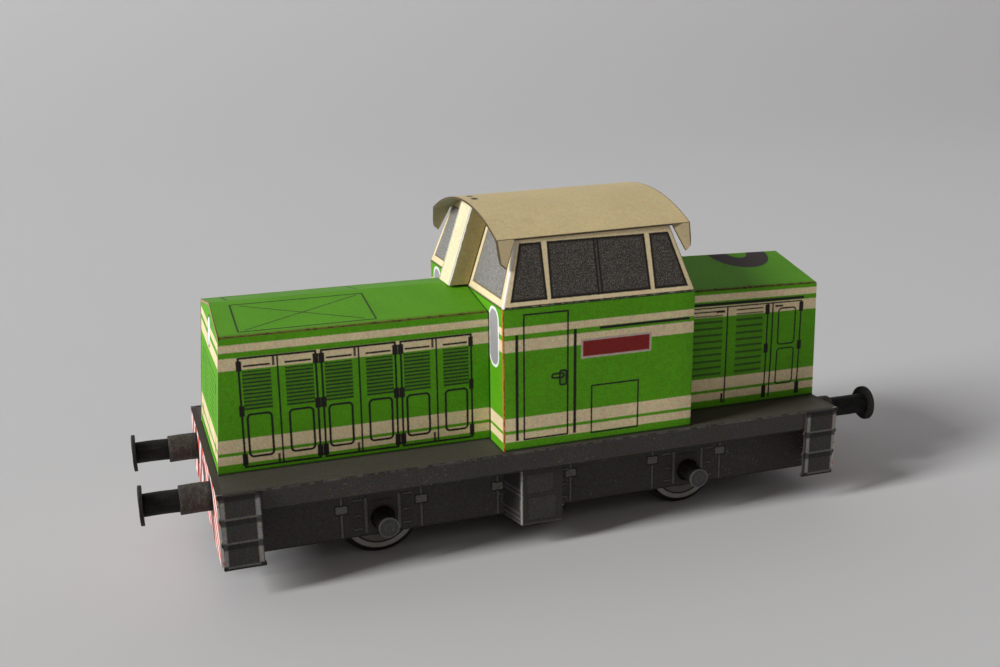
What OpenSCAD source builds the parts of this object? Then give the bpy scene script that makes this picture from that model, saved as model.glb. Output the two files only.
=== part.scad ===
// Small card model of a three-axle diesel shunting locomotive.
// X runs forward to the long hood, Y to the left side, Z up from the floor
// that the wheel flanges stand on. Sizes are in millimetres.

/* [Card] */
// Thickness of the folded card walls
card = 0.4; // [0.3:0.05:0.6]
// Thickness of the stiff laminated plates
plate = 0.8; // [0.6:0.1:1.2]

/* [Running plate] */
// Length of the running plate over the outer faces of its end beams
deck_len = 94; // [88:1:120]
// Width of the running plate
deck_w = 36.5; // [34:0.5:46]
// Height of the running plate's top above the floor
deck_top = 15.25; // [15:0.05:20]
// Thickness of the board inside the running plate
board = 1.0; // [0.6:0.1:1.2]
// Depth of the side fascias folded down from the plate
fascia_h = 3.0; // [2:0.1:4]

/* [End beams] */
// Height of the striped end beams
beam_h = 10.2; // [9.5:0.1:12]

/* [Frame] */
// Distance between the outer faces of the frame sides
frame_w = 26.4; // [25.8:0.1:29]
// Height of the frame's lower edge above the floor
frame_z = 3.85; // [3:0.05:4.5]
// Diameter of the clearance holes in the frame sides
frame_hole_d = 3.5; // [3.4:0.1:5]
// Thickness of the bearing strips behind the frame sides
bearing_t = 0.5; // [0.4:0.1:0.6]
// Length of the bearing strips
bearing_len = 60; // [58:1:70]

/* [Wheelsets] */
// Distance from the middle axle to each outer axle
axle_gap = 24.1; // [22:0.1:26]
// Diameter of the wheels over the flange
flange_d = 12.5; // [11:0.1:12.8]
// Diameter of the wheels over the tread
tread_d = 10.8; // [9:0.1:11]
// Thickness of the flange disc
flange_t = 0.8; // [0.6:0.1:1.2]
// Thickness of the tread disc
tread_t = 0.8; // [0.6:0.1:1.2]
// Distance between the outer faces of a pair of wheels
wheels_w = 23; // [18:0.1:23.4]
// Diameter of the rolled axle tubes
axle_d = 2.9; // [2.4:0.1:3.2]
// Bore of the rolled axle tubes
axle_bore_d = 1.4; // [1:0.1:2]
// Radial running clearance of an axle in its bearing strip
axle_clear = 0.06; // [0.02:0.01:0.1]
// How far the outer axles stand out of the frame sides
axle_out = 3.7; // [2:0.1:4]
// Thickness of the discs that close the axle tubes
cap_t = 0.3; // [0.2:0.05:0.5]

/* [Buffers] */
// Distance between the centres of a pair of buffers
buffer_gap = 20.1; // [18:0.1:24]
// Height of the buffers above the floor
buffer_z = 11.85; // [11:0.05:12.2]
// Diameter of the buffer housings
housing_d = 4.1; // [4:0.1:5]
// Length of the buffer housings
housing_len = 4.2; // [3:0.1:6]
// Diameter of the buffer plungers
plunger_d = 3.2; // [2.4:0.1:3.4]
// How far the front plungers stand out of their housings
plunger_front = 4.7; // [3:0.1:8]
// How far the rear plungers stand out of their housings
plunger_rear = 6.8; // [3:0.1:8]
// Diameter of the buffer heads
head_d = 5.8; // [5:0.1:7]
// Thickness of the buffer heads
head_t = 0.5; // [0.4:0.05:1]

/* [Hoods] */
// Width of both hoods
hood_w = 23.4; // [22:0.1:26]
// Height of the hood sides above the running plate
hood_side_h = 18.9; // [17:0.1:20]
// Rise of the shallow hood roofs from the sides to the ridge
hood_rise = 2.1; // [1.5:0.1:2.5]
// Distance from the plate's centre to the foot of the long hood's front
long_hood_x = 46.0; // [40:0.1:46]
// Distance from the plate's centre to the foot of the short hood's end
short_hood_x = 47.0; // [40:0.1:47]
// How far the long hood's front leans back at the top of its sides
long_lean = 1.4; // [0:0.1:2]
// How far the short hood's end leans in at the top of its sides
short_lean = 0.5; // [0:0.1:2]

/* [Cab] */
// Distance from the plate's centre forward to the cab's front wall
cab_front = 7.4; // [5:0.1:10]
// Distance from the plate's centre back to the cab's rear wall
cab_back = 22.0; // [18:0.1:26]
// Width of the lower cab
cab_w = 34.9; // [32:0.1:35]
// Height of the lower cab above the running plate
waist_h = 20.6; // [20:0.1:22]
// Height of the window band
band_h = 8.9; // [8:0.1:11]
// Inward lean of the window band at each side, from waist to eaves
band_side_lean = 2.6; // [1:0.1:3.5]
// Inward lean of the window band at front and back, from waist to eaves
band_end_lean = 2.9; // [1:0.1:3.5]

/* [Cab roof] */
// Rise of the curved roof from the eaves to the ridge
roof_rise = 3.6; // [3:0.1:5]
// Overhang of the roof past the window band at front and back
roof_over = 2.9; // [2:0.1:4]
// Length of the corner flaps down the slope of the band
flap_len = 3.9; // [3:0.1:5]

/* [Air duct] */
// Width of the duct in front of the cab
duct_w = 5.3; // [4:0.1:8]
// Depth of the duct at its foot
duct_depth = 3.1; // [2:0.1:4]

/* [Steps and tanks] */
// Width of the corner step plates
step_w = 5.8; // [5:0.1:7]
// Height of the corner step plates
step_h = 10.6; // [9:0.1:11]
// How far the rungs stand past the stiles of the step plates
rung_out = 0.25; // [0.1:0.05:0.3]
// Number of rungs on each step plate
rungs = 3; // [2:1:4]
// Distance from the plate's centre to the middle of the side tanks
tank_x = 1.8; // [0:0.1:3]
// Length of the outer face of the side tanks
tank_face = 6.2; // [6:0.1:9]
// Length of the side tanks where they meet the frame
tank_foot = 8.4; // [8:0.1:10]
// Height of the side tanks' floor above the floor below
tank_z = 3.75; // [3.5:0.05:5]

/* [Hidden] */
$fn = 64;

green = [0.25, 0.52, 0.12];
cream = [0.84, 0.78, 0.6];
khaki = [0.7, 0.65, 0.5];
dark_grey = [0.24, 0.24, 0.23];
olive_grey = [0.36, 0.36, 0.32];
red_white = [0.8, 0.3, 0.26];
pale_grey = [0.62, 0.61, 0.58];
black = [0.1, 0.1, 0.1];
board_grey = [0.7, 0.68, 0.62];

eps = 0.01;                         // past a face that a cut has to clear
fold_in = 0.05;                     // a flap's fold line inside the roof's edge
flap_gap = 0.05;                    // between a flap and the window band's plane
front_reach = deck_len / 2 + housing_len + plunger_front + head_t;
rear_reach = deck_len / 2 + housing_len + plunger_rear + head_t;
mid_x = (rear_reach - front_reach) / 2;   // the plate's centre from the origin

axle_z = flange_d / 2;              // the flanges stand on the floor
axle_r = axle_d / 2;
frame_top = deck_top - card - board;
frame_face = frame_w / 2;
bearing_face = frame_face - plate;
wheel_face = wheels_w / 2;
hood_eave = deck_top + hood_side_h;
hood_top = hood_eave + hood_rise;
waist_z = deck_top + waist_h;
eave_z = waist_z + band_h;
eave_w = cab_w - 2 * band_side_lean;
roof_w = eave_w + 2 * (card + fold_in + flap_gap);
roof_top = eave_z + roof_rise;
roof_r = (pow(roof_w / 2, 2) + pow(roof_rise, 2)) / (2 * roof_rise);
roof_axis_z = roof_top - roof_r;
side_lean_angle = atan2(band_side_lean, band_h);

// Places children in the running plate's own frame
module on_plate() translate([mid_x, 0, 0]) children();

// An outline in Y and Z, extruded along X from x0 to x1
module along_x(x0, x1) translate([x0, 0, 0]) rotate([90, 0, 90]) linear_extrude(x1 - x0) children();

// An outline in X and Z, extruded along Y from y0 to y1
module along_y(y0, y1) translate([0, y1, 0]) rotate([90, 0, 0]) linear_extrude(y1 - y0) children();

// A plain box from one corner to the other
module box(a, b) translate(a) cube([b[0] - a[0], b[1] - a[1], b[2] - a[2]]);

// A cylinder along Y between two places
module rod_y(d, y0, y1) translate([0, y1, 0]) rotate([90, 0, 0]) cylinder(d = d, h = y1 - y0);

// A cylinder along X between two places
module rod_x(d, x0, x1) translate([x0, 0, 0]) rotate([0, 90, 0]) cylinder(d = d, h = x1 - x0);

// Mirrors to the right side of the model
module right_side() mirror([0, 1, 0]) children();

// ---- running plate and frame ----

module deck_board() color(board_grey) on_plate()
    box([-deck_len / 2 + plate, -deck_w / 2 + card, frame_top],
        [deck_len / 2 - plate, deck_w / 2 - card, deck_top - card]);

module deck_cover() color(olive_grey) on_plate() difference() {
    box([-deck_len / 2 + plate, -deck_w / 2, deck_top - fascia_h],
        [deck_len / 2 - plate, deck_w / 2, deck_top]);
    box([-deck_len / 2, -deck_w / 2 + card, deck_top - fascia_h - eps],
        [deck_len / 2, deck_w / 2 - card, deck_top - card]);
}

module beam(end) color(red_white) on_plate() {
    x_out = end * deck_len / 2;
    x_in = end * (deck_len / 2 - plate);
    box([min(x_in, x_out), -deck_w / 2, deck_top - beam_h],
        [max(x_in, x_out), deck_w / 2, deck_top]);
}

module frame_side() color(dark_grey) on_plate() difference() {
    box([-deck_len / 2 + plate, bearing_face, frame_z],
        [deck_len / 2 - plate, frame_face, frame_top]);
    for (i = [-1:1])
        translate([i * axle_gap, 0, axle_z])
            rod_y(frame_hole_d, bearing_face - eps, frame_face + eps);
}

module bearing_strip() color(board_grey) on_plate() difference() {
    box([-bearing_len / 2, bearing_face - bearing_t, frame_z],
        [bearing_len / 2, bearing_face, frame_top]);
    for (i = [-1:1])
        translate([i * axle_gap, 0, axle_z])
            rod_y(axle_d + 2 * axle_clear, bearing_face - bearing_t - eps, bearing_face + eps);
}

// The cross pieces stand between the frame sides, clear of the outer wheels
module cross_piece(end) color(board_grey) on_plate() {
    x_mid = end * (axle_gap + flange_d / 2 + deck_len / 2 - plate) / 2;
    box([x_mid - plate / 2, -bearing_face, frame_z],
        [x_mid + plate / 2, bearing_face, frame_top]);
}

// ---- hoods ----

// A hood's outer or inner shape: a gabled section cut by a leaning end.
// The end's foot is at foot_x, the cab's wall at wall_x, and inset takes
// the card's thickness off every face but the open foot.
module hood_form(foot_x, wall_x, lean, inset) {
    end = sign(foot_x);
    half = hood_w / 2 - inset;
    slope = lean / hood_side_h;
    top = hood_rise + hood_side_h;
    open = inset > 0 ? eps : 0;
    near = wall_x - end * open;
    foot = foot_x - end * inset;
    intersection() {
        along_x(min(near, foot), max(near, foot))
            polygon([[-half, -open], [half, -open], [half, hood_side_h - inset],
                     [0, top - inset], [-half, hood_side_h - inset]]);
        along_y(-hood_w, hood_w)
            polygon([[near, -open], [foot + end * slope * open, -open],
                     [foot - end * slope * top, top], [near, top]]);
    }
}

module hood(foot_x, wall_x, lean) color(green) on_plate() translate([0, 0, deck_top])
    difference() {
        hood_form(foot_x, wall_x, lean, 0);
        hood_form(foot_x, wall_x, lean, card);
    }

// ---- cab ----

module cab_body() color(green) on_plate() difference() {
    box([-cab_back, -cab_w / 2, deck_top], [cab_front, cab_w / 2, waist_z]);
    box([-cab_back + card, -cab_w / 2 + card, deck_top - eps],
        [cab_front - card, cab_w / 2 - card, waist_z + eps]);
}

// The four leaning planes of the window band, carried up past the roof
module band_form(inset, open) {
    up = roof_top - waist_z;
    half = cab_w / 2 - inset;
    side = up * band_side_lean / band_h;
    ends = up * band_end_lean / band_h;
    translate([0, 0, waist_z]) intersection() {
        along_x(-cab_back, cab_front)
            polygon([[-half, -open], [half, -open], [half - side, up + open], [side - half, up + open]]);
        along_y(-cab_w, cab_w)
            polygon([[-cab_back + inset, -open], [cab_front - inset, -open],
                     [cab_front - inset - ends, up + open], [-cab_back + inset + ends, up + open]]);
    }
}

// The round body under the curved roof
module roof_round(drop) translate([0, 0, roof_axis_z])
    rod_x(2 * (roof_r - drop), -deck_len / 2, deck_len / 2);

module cab_band() color(cream) on_plate() difference() {
    intersection() {
        band_form(0, 0);
        roof_round(card);
    }
    band_form(card, eps);
}

// One corner flap, folded down at the eaves in the plane of the window band
module corner_flap(end) {
    middle = (cab_front - cab_back) / 2;
    over_x = (cab_front + cab_back) / 2 - band_end_lean + roof_over - fold_in;
    tip_back = over_x - roof_over * 0.36;
    tip_front = over_x - roof_over * 0.1;
    translate([middle, roof_w / 2 - fold_in, eave_z - fold_in]) rotate([side_lean_angle, 0, 0])
        along_y(-card, 0)
            polygon([[end * (over_x - roof_over), 0], [end * over_x, 0],
                     [end * tip_front, -flap_len * 0.82], [end * tip_back, -flap_len]]);
}

module cab_roof() color(khaki) on_plate() union() {
    x0 = -cab_back + band_end_lean - roof_over;
    x1 = cab_front - band_end_lean + roof_over;
    difference() {
        intersection() {
            roof_round(0);
            box([x0, -roof_w / 2, eave_z - roof_rise], [x1, roof_w / 2, roof_top + 1]);
        }
        roof_round(card);
        box([x0 - 1, -roof_w, eave_z - roof_rise - 1], [x1 + 1, roof_w, eave_z - card]);
    }
    for (end = [-1, 1]) {
        corner_flap(end);
        right_side() corner_flap(end);
    }
}

// The duct leans with the window band. Its foot follows the hood's gable
// and its top ends under the cab roof; its back and both ends are open.
module duct_form(inset) {
    cut = inset > 0 ? 1 : 0;
    half = duct_w / 2 - inset;
    foot_drop = hood_rise * duct_w / hood_w;
    top = roof_axis_z + sqrt(pow(roof_r - card, 2) - pow(duct_w / 2, 2)) + cut;
    lean = (top - waist_z) * band_end_lean / band_h;
    front = cab_front + duct_depth - inset;
    intersection() {
        along_x(cab_front - band_end_lean * 2, cab_front + duct_depth + 1)
            polygon([[-half, hood_top - foot_drop - cut], [0, hood_top - cut],
                     [half, hood_top - foot_drop - cut], [half, top], [-half, top]]);
        along_y(-duct_w, duct_w)
            polygon([[cab_front - cut, hood_top - hood_rise - cut],
                     [front, hood_top - hood_rise - cut], [front, waist_z], [front - lean, top],
                     [cab_front - lean - cut, top], [cab_front - cut, waist_z]]);
    }
}

module cab_duct() color(cream) on_plate() difference() {
    duct_form(0);
    duct_form(card);
}

// ---- steps and tanks ----

// A flat step plate on the left side, hung on the fascia
module step_plate(end) color(dark_grey) on_plate() {
    x_out = end * deck_len / 2;
    x_in = x_out - end * step_w;
    low = deck_top - step_h;
    rung_h = rung_out * 2;
    pitch = (step_h - rung_h) / rungs;
    union() {
        box([min(x_in, x_out) + rung_out, deck_w / 2, low],
            [max(x_in, x_out) - rung_out, deck_w / 2 + card, deck_top]);
        for (i = [0:rungs - 1])
            box([min(x_in, x_out), deck_w / 2, low + i * pitch],
                [max(x_in, x_out), deck_w / 2 + card, low + i * pitch + rung_h]);
    }
}

// The tank's outline from above, drawn in by the card's thickness if inset
module tank_plan(inset) {
    out = deck_w / 2 - card - inset;
    back = frame_face - (inset > 0 ? eps : 0);
    polygon([[tank_x - tank_foot / 2 + inset, back], [tank_x + tank_foot / 2 - inset, back],
             [tank_x + tank_face / 2 - inset, out], [tank_x - tank_face / 2 + inset, out]]);
}

module side_tank() color(dark_grey) on_plate() difference() {
    translate([0, 0, tank_z]) linear_extrude(frame_top - tank_z) tank_plan(0);
    translate([0, 0, tank_z + card]) linear_extrude(frame_top - tank_z) tank_plan(card);
}

// ---- buffers ----

module at_buffer(end, side) on_plate()
    translate([end * deck_len / 2, side * buffer_gap / 2, buffer_z])
        mirror([end < 0 ? 1 : 0, 0, 0]) children();

module housing(end, side) color(pale_grey) at_buffer(end, side) difference() {
    rod_x(housing_d, 0, housing_len);
    rod_x(plunger_d, -eps, housing_len + eps);
}

module plunger(end, side, out) color(black) at_buffer(end, side)
    rod_x(plunger_d, 0, housing_len + out);

module head(end, side, out) color(black) at_buffer(end, side)
    rod_x(head_d, housing_len + out, housing_len + out + head_t);

// ---- wheelsets ----

module at_axle(i) on_plate() translate([i * axle_gap, 0, axle_z]) children();

// The middle axle stops inside the frame sides, behind the tanks
module axle(i) color(black) at_axle(i) {
    half = i == 0 ? frame_face - card : frame_face + axle_out - cap_t;
    difference() {
        rod_y(axle_d, -half, half);
        rod_y(axle_bore_d, -half - eps, half + eps);
    }
}

module wheel(i) color(pale_grey) at_axle(i) difference() {
    union() {
        rod_y(tread_d, wheel_face - tread_t - eps, wheel_face);
        rod_y(flange_d, wheel_face - tread_t - flange_t, wheel_face - tread_t);
    }
    rod_y(axle_d, wheel_face - tread_t - flange_t - eps, wheel_face + eps);
}

module axle_cap(i) color(pale_grey) at_axle(i)
    rod_y(axle_d, frame_face + axle_out - cap_t, frame_face + axle_out);

// ---- the pieces ----

deck_board();
deck_cover();
beam(1);  // beam_front
beam(-1);  // beam_rear
frame_side();  // frame_left
right_side() frame_side();  // frame_right
bearing_strip();  // bearing_left
right_side() bearing_strip();  // bearing_right
cross_piece(1);  // cross_front
cross_piece(-1);  // cross_rear
hood(long_hood_x, cab_front, long_lean);  // long_hood
hood(-short_hood_x, -cab_back, short_lean);  // short_hood
cab_body();
cab_band();
cab_roof();
cab_duct();
step_plate(1);  // step_front_left
right_side() step_plate(1);  // step_front_right
step_plate(-1);  // step_rear_left
right_side() step_plate(-1);  // step_rear_right
side_tank();  // tank_left
right_side() side_tank();  // tank_right
housing(1, 1);  // housing_front_left
housing(1, -1);  // housing_front_right
housing(-1, 1);  // housing_rear_left
housing(-1, -1);  // housing_rear_right
plunger(1, 1, plunger_front);  // plunger_front_left
plunger(1, -1, plunger_front);  // plunger_front_right
plunger(-1, 1, plunger_rear);  // plunger_rear_left
plunger(-1, -1, plunger_rear);  // plunger_rear_right
head(1, 1, plunger_front);  // head_front_left
head(1, -1, plunger_front);  // head_front_right
head(-1, 1, plunger_rear);  // head_rear_left
head(-1, -1, plunger_rear);  // head_rear_right
axle(1);  // axle_front
axle(0);  // axle_middle
axle(-1);  // axle_rear
wheel(1);  // wheel_front_left
right_side() wheel(1);  // wheel_front_right
wheel(0);  // wheel_middle_left
right_side() wheel(0);  // wheel_middle_right
wheel(-1);  // wheel_rear_left
right_side() wheel(-1);  // wheel_rear_right
axle_cap(1);  // cap_front_left
right_side() axle_cap(1);  // cap_front_right
axle_cap(-1);  // cap_rear_left
right_side() axle_cap(-1);  // cap_rear_right
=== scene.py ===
import math

import bmesh
import bpy
import numpy as np
from mathutils import Matrix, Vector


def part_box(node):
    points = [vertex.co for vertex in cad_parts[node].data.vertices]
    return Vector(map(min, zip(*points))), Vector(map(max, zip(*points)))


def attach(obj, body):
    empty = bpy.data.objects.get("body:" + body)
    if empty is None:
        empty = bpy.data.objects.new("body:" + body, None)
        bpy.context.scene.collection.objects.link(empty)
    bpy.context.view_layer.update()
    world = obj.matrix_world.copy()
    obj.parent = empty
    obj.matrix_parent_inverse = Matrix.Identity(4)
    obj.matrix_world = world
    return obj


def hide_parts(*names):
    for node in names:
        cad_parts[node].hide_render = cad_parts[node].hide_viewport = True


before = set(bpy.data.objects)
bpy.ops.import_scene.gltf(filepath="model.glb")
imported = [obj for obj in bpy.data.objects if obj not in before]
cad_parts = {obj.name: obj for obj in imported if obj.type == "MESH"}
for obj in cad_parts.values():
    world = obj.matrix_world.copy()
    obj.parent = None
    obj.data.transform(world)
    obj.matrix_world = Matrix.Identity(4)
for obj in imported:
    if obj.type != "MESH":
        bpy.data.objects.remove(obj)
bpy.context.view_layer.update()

# ---- the stage ----
# A sheet of pale paper under and behind the model, a soft window beyond the
# long hood's end and a weak fill from the near side, as on a table by a window.

mm = 0.001


def box_mm(node):
    """The low and the high corner of a CAD piece's box, in millimetres."""
    return (np.array(corner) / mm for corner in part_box(node))


plate_low, plate_high = box_mm("deck_cover")
mid_x = (plate_low[0] + plate_high[0]) / 2      # the plate's middle, in millimetres
deck_top = plate_high[2]


def place_camera(where, azimuth, elevation, roll, lens):
    """Aims a camera: azimuth from +Y, elevation down, roll about its line of sight, in degrees."""
    az, el, ro = (math.radians(a) for a in (azimuth, elevation, roll))
    sight = np.array([math.sin(az) * math.cos(el), -math.cos(az) * math.cos(el), -math.sin(el)])
    right = np.cross(sight, [0, 0, 1])
    right /= np.linalg.norm(right)
    up = np.cross(right, sight)
    turned_right = math.cos(ro) * right + math.sin(ro) * up
    turned_up = math.cos(ro) * up - math.sin(ro) * right
    data = bpy.data.cameras.new("camera")
    data.lens = lens
    data.sensor_width = 36
    data.clip_start = 0.005
    camera = bpy.data.objects.new("camera", data)
    bpy.context.scene.collection.objects.link(camera)
    axes = Matrix([turned_right, turned_up, -sight]).transposed().to_4x4()
    camera.matrix_world = Matrix.Translation([w * mm for w in where]) @ axes
    bpy.context.scene.camera = camera


place_camera((mid_x + 57.2, 157.7, deck_top + 59.3), azimuth=-19.4, elevation=15.77, roll=-0.64,
             lens=40.96)


def soft_light(name, where, aim, width, height, power, colour):
    """A rectangular lamp of the given size in metres, turned to face a point."""
    data = bpy.data.lights.new(name, "AREA")
    data.shape = "RECTANGLE"
    data.size, data.size_y = width, height
    data.energy = power
    data.color = colour
    lamp = bpy.data.objects.new(name, data)
    bpy.context.scene.collection.objects.link(lamp)
    lamp.location = where
    toward = Matrix.Translation(aim).translation - lamp.location
    lamp.rotation_euler = toward.to_track_quat("-Z", "Y").to_euler()


body_middle = (0, 0, 0.02)
soft_light("window", (3.7, 0.48, 2.2), body_middle, width=0.86, height=1.9, power=213,
           colour=(1.0, 0.985, 0.955))
soft_light("room", (0.15, 1.2, 1.2), body_middle, width=1.2, height=0.8, power=0.9,
           colour=(0.97, 0.97, 1.0))

world = bpy.data.worlds.new("room_light")
bpy.context.scene.world = world
world.use_nodes = True
world.node_tree.nodes["Background"].inputs["Color"].default_value = (0.7, 0.62, 0.56, 1)
world.node_tree.nodes["Background"].inputs["Strength"].default_value = 0.26
bpy.context.scene.view_settings.view_transform = "Standard"


GLOW = 0.35                                     # how brightly the upright paper lets light through


def sweep_floor():
    """A paper sweep carried along X: flat, then a quarter circle, then upright. The upright part
    lets light through from behind, more with height."""
    bend, reach, height, half, near = 0.6, 0.45, 2.6, 9.0, 7.0
    turn = np.linspace(0, math.pi / 2, 25)
    y = np.concatenate([[near], -reach - bend * np.sin(turn), [-reach - bend]])
    z = np.concatenate([[0], bend - bend * np.cos(turn), [height]])
    x = np.array([-half, half])
    points = np.stack(np.broadcast_arrays(x[None, :], y[:, None], z[:, None]), axis=-1)
    n = len(y)
    faces = [(2 * i, 2 * i + 2, 2 * i + 3, 2 * i + 1) for i in range(n - 1)]
    mesh = bpy.data.meshes.new("paper_sweep")
    mesh.from_pydata(points.reshape(-1, 3).tolist(), [], faces)
    mesh.polygons.foreach_set("use_smooth", np.ones(len(faces), dtype=bool))
    sweep = bpy.data.objects.new("paper_sweep", mesh)
    bpy.context.scene.collection.objects.link(sweep)
    material = bpy.data.materials.new("pale_paper")
    material.use_nodes = True
    tree = material.node_tree
    shader = tree.nodes["Principled BSDF"]
    shader.inputs["Roughness"].default_value = 0.9
    shader.inputs["Specular IOR Level"].default_value = 0.2
    place = tree.nodes.new("ShaderNodeTexCoord")
    split = tree.nodes.new("ShaderNodeSeparateXYZ")
    tree.links.new(place.outputs["Object"], split.inputs[0])
    glow = tree.nodes.new("ShaderNodeMapRange")
    glow.inputs["From Max"].default_value = bend
    glow.inputs["To Max"].default_value = GLOW
    tree.links.new(split.outputs["Z"], glow.inputs["Value"])
    shader.inputs["Base Color"].default_value = (0.5, 0.506, 0.522, 1)
    shader.inputs["Emission Color"].default_value = (0.96, 0.965, 1.0, 1)
    tree.links.new(glow.outputs[0], shader.inputs["Emission Strength"])
    mesh.materials.append(material)


sweep_floor()

# ---- folded card ----
# Every wall of the model is thin printed card, scored and folded. A folded
# strip is a flat outline of corners with small round folds, carried between
# two ends, with a plain inner face and raw cut edges.

CARD = 0.4
FOLD = 0.3
BACK, RAW = 2, 3                                # material numbers that follow a strip's two prints


def inset(corners, depth, closed):
    """Moves a line of corners to its left by depth, mitred at each corner."""
    c = np.asarray(corners, float)
    run = np.roll(c, -1, axis=0) - c
    run /= np.linalg.norm(run, axis=1)[:, None]
    before = np.roll(run, 1, axis=0)
    if not closed:
        before[0], run[-1] = run[0], before[-1]
    left, left_before = (np.stack([-d[:, 1], d[:, 0]], 1) for d in (run, before))
    bisector = left + left_before
    return c + depth * 2 * bisector / (bisector ** 2).sum(1)[:, None]


def fold_line(corners, radius, closed, arc=4, run=10):
    """Points along a line of corners: straight runs, joined by round folds (quadratic blends).
    Returns the points and, for each, the number of the run it belongs to."""
    c = np.asarray(corners, float)
    n = len(c)
    points, runs = [], []
    last = n if closed else n - 1
    for i in range(last):
        a, b = c[i], c[(i + 1) % n]
        way = (b - a) / np.linalg.norm(b - a)
        start = a + way * radius if closed or i > 0 else a
        end = b - way * radius if closed or i < last - 1 else b
        t = np.linspace(0, 1, run + 1)[:, None]
        points.append(start + (end - start) * t)
        runs += [i] * (run + 1)
        if closed or i < last - 1:
            after = c[(i + 2) % n] - b
            far = b + after / np.linalg.norm(after) * radius
            t = np.linspace(0, 1, arc + 1)[1:-1, None]
            points.append(end * (1 - t) ** 2 + 2 * b * t * (1 - t) + far * t ** 2)
            runs += [i] * (arc - 1)
    points = np.concatenate(points)
    if closed:
        points = np.concatenate([points, points[:1]])
        runs.append(0)
    return points, np.array(runs)


def grid_faces(rows, columns, offset):
    """Quads between the points of a rows by columns grid that starts at an offset."""
    r, c = np.meshgrid(np.arange(rows - 1), np.arange(columns - 1), indexing="ij")
    k = (offset + r * columns + c).ravel()
    return np.stack([k, k + columns, k + columns + 1, k + 1], 1)


def card_piece(name, grids, materials, body="locomotive", stands_for=()):
    """Joins grids of points, each with material numbers for its cells, into one closed mesh."""
    points, faces, numbers = [], [], []
    offset = 0
    for grid, number in grids:
        rows, columns = grid.shape[:2]
        points.append(grid.reshape(-1, 3))
        faces.append(grid_faces(rows, columns, offset))
        cells = np.broadcast_to(np.asarray(number).reshape(-1, 1) if np.ndim(number) == 1 else number,
                                (rows - 1, columns - 1))
        numbers.append(cells.ravel())
        offset += rows * columns
    mesh = bpy.data.meshes.new(name)
    mesh.from_pydata((np.concatenate(points) * mm).tolist(), [], np.concatenate(faces).tolist())
    mesh.polygons.foreach_set("material_index", np.concatenate(numbers).astype(np.int32))
    for material in materials:
        mesh.materials.append(material)
    work = bmesh.new()
    work.from_mesh(mesh)
    bmesh.ops.remove_doubles(work, verts=work.verts, dist=0.002 * mm)
    bmesh.ops.dissolve_degenerate(work, edges=work.edges, dist=0.0005 * mm)
    bmesh.ops.recalc_face_normals(work, faces=work.faces)
    for face in work.faces:
        face.smooth = True
    sharp = math.radians(32)
    for edge in work.edges:
        edge.smooth = len(edge.link_faces) == 2 and edge.calc_face_angle(0) < sharp
    work.to_mesh(mesh)
    work.free()
    piece = bpy.data.objects.new(name, mesh)
    bpy.context.scene.collection.objects.link(piece)
    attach(piece, body)
    if stands_for:
        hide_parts(*stands_for)
    return piece


def between(low, high, count):
    """Blends two lines of points into a grid: count steps from low to high."""
    t = np.linspace(0, 1, count)[None, :, None]
    return low[:, None, :] * (1 - t) + high[:, None, :] * t


def cut_edges(face, back, number):
    """The four narrow faces between the two sides of a sheet: its ends, then its long edges."""
    pairs = ((face[0], back[0]), (face[-1], back[-1]), (face[:, 0], back[:, 0]), (face[:, -1], back[:, -1]))
    return [(np.stack(pair), number) for pair in pairs]


def strip(outer, inner, numbers, closed):
    """A folded strip: printed outside, plain inside, with raw cut edges. A closed one has no ends."""
    return [(outer, numbers), (inner, BACK)] + cut_edges(outer, inner, RAW)[2 if closed else 0:]


def walls(outer_low, outer_high, inner_low, inner_high, steps, numbers, closed=False):
    """A strip whose faces run straight between lines of points at its two ends."""
    return strip(between(outer_low, outer_high, steps), between(inner_low, inner_high, steps),
                 numbers, closed)


# ---- printing and paper ----
# The livery is ink on matt card: each sheet's material starts from one ink
# and lays marks over it, measured in millimetres on the finished model. The
# edges of the marks wander a little, as inkjet print does.

def sum_node(tree, operation, *values, clamp=False):
    """One math node, whose inputs are numbers or other nodes' outputs."""
    node = tree.nodes.new("ShaderNodeMath")
    node.operation = operation
    node.use_clamp = clamp
    for socket, value in zip(node.inputs, values):
        if isinstance(value, bpy.types.NodeSocket):
            tree.links.new(value, socket)
        else:
            socket.default_value = value
    return node.outputs[0]


def mixed(tree, factor, first, second):
    """One colour mix; colours are given as numbers or as other nodes' outputs."""
    node = tree.nodes.new("ShaderNodeMix")
    node.data_type = "RGBA"
    for socket, value in ((node.inputs[0], factor), (node.inputs[6], first), (node.inputs[7], second)):
        if isinstance(value, bpy.types.NodeSocket):
            tree.links.new(value, socket)
        elif isinstance(value, tuple):
            socket.default_value = (*value, 1)
        else:
            socket.default_value = value
    return node.outputs[2]


def vector_node(tree, operation, first, second, socket=1):
    """One vector math node, whose second input is a plain vector or another node's output."""
    node = tree.nodes.new("ShaderNodeVectorMath")
    node.operation = operation
    tree.links.new(first, node.inputs[0])
    if isinstance(second, tuple):
        node.inputs[socket].default_value = second
    else:
        tree.links.new(second, node.inputs[socket])
    return node.outputs[0]


def socketed_group(name, inputs, outputs):
    """An empty shader group with named float, colour or vector sockets."""
    group = bpy.data.node_groups.new(name, "ShaderNodeTree")
    for label, kind, value in inputs:
        made = group.interface.new_socket(label, in_out="INPUT", socket_type="NodeSocket" + kind)
        made.default_value = value
    for label, kind in outputs:
        group.interface.new_socket(label, in_out="OUTPUT", socket_type="NodeSocket" + kind)
    return group, group.nodes.new("NodeGroupInput"), group.nodes.new("NodeGroupOutput")


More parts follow.
